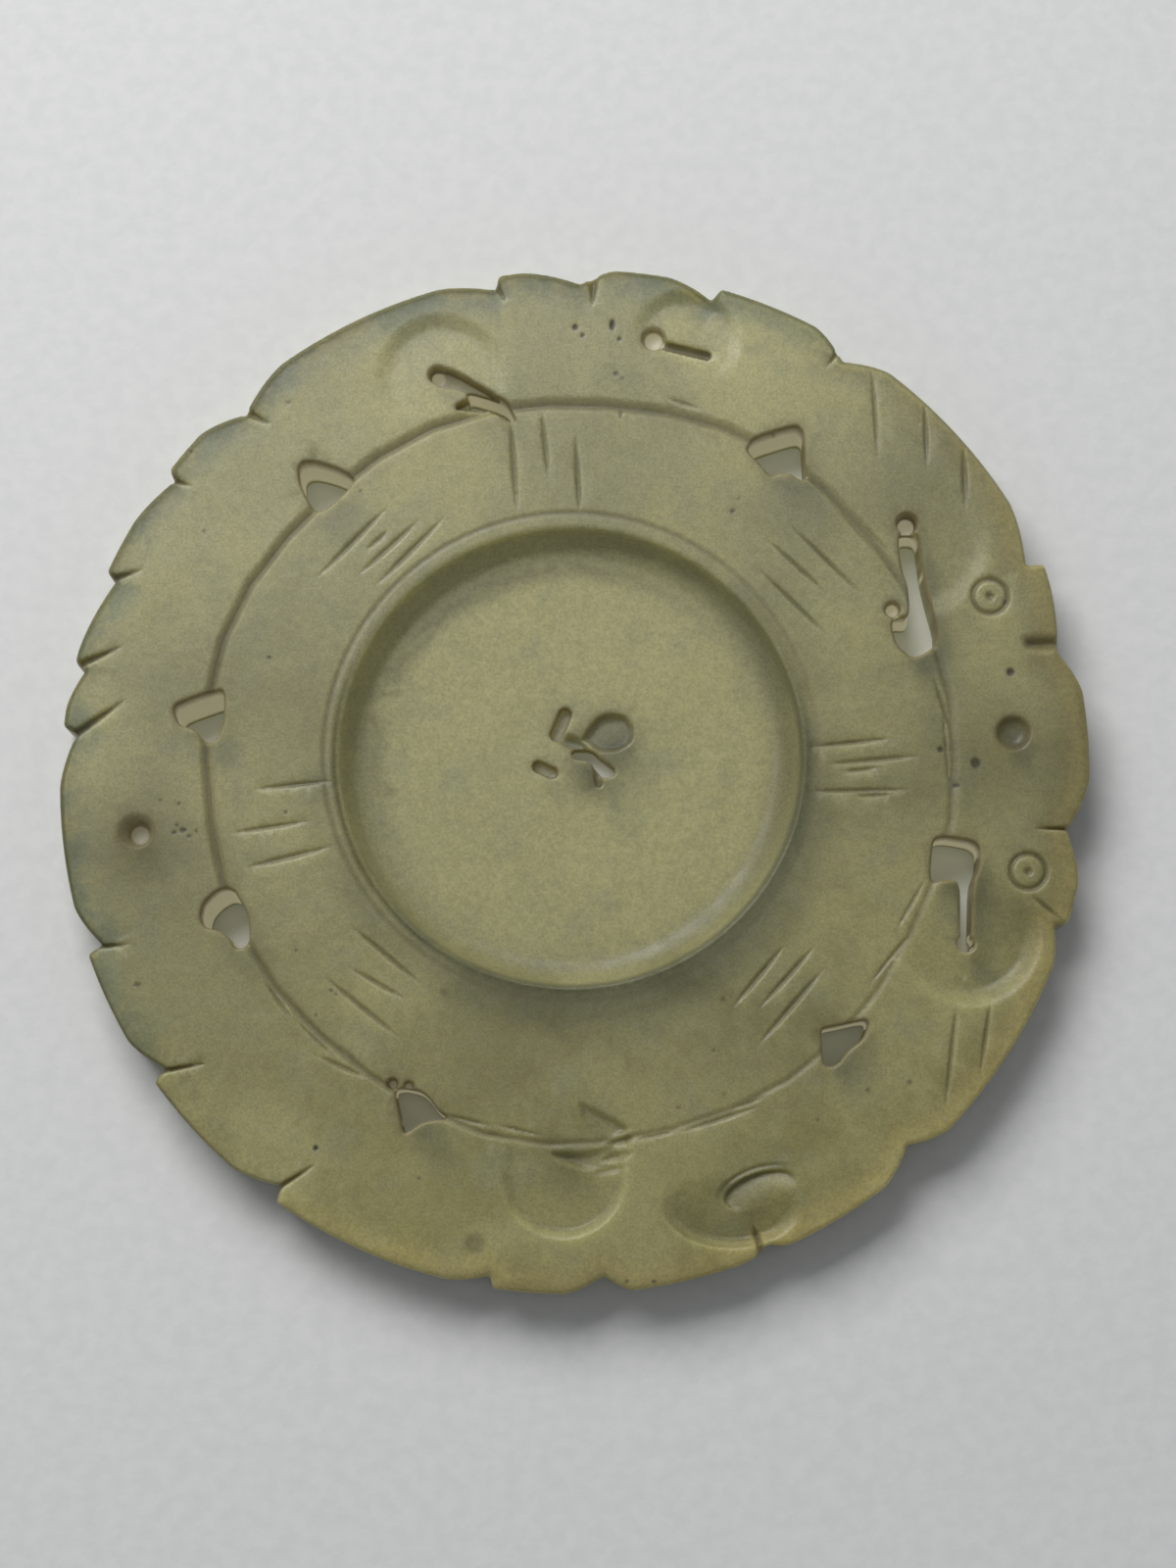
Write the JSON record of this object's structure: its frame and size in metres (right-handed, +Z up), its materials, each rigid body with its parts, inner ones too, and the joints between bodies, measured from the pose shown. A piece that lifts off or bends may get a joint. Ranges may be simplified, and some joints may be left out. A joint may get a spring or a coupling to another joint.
{
  "type": "carved jade disc",
  "caption": "Flat round carved stone disc with a notched rim, a round sunk well in place of an open centre, a grooved ring, small pierced openings and wheel-cut strokes.",
  "frame": {"origin": "middle of the outline's bounding box, on the flat back that the disc lies on", "axes": "+Z up, out of the carved face; +Y towards the top of the face as it is seen; +X to its right, towards the two small heads at the rim"},
  "size_m": [0.085, 0.0854, 0.0052],
  "materials": {
    "jade": "satin, waxy, slightly translucent pale olive-green stone with fine wear and dark specks"
  },
  "bodies": {
    "root": {"jade_disc": "jade"}
  },
  "joints": []
}
